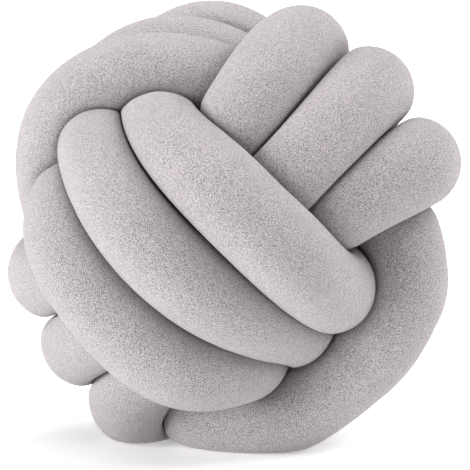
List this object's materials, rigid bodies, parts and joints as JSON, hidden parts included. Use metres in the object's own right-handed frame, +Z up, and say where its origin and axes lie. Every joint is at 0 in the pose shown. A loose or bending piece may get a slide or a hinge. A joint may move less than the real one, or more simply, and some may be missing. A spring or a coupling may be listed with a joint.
{
  "type": "knot cushion",
  "caption": "Ball-shaped plush cushion made of a long stuffed tube, tied into a round knot of crossing bands.",
  "frame": {"origin": "on the floor under the middle of the ball", "axes": "+Z up from the floor, -Y towards the front of the ball, +X to the right as seen from the front"},
  "size_m": [0.2662, 0.2724, 0.2618],
  "materials": {
    "plush_cloth": "short-pile plush, light warm grey, matt with a soft sheen at the edges"
  },
  "bodies": {
    "root": {"knotted_tube": "plush_cloth"}
  },
  "joints": []
}
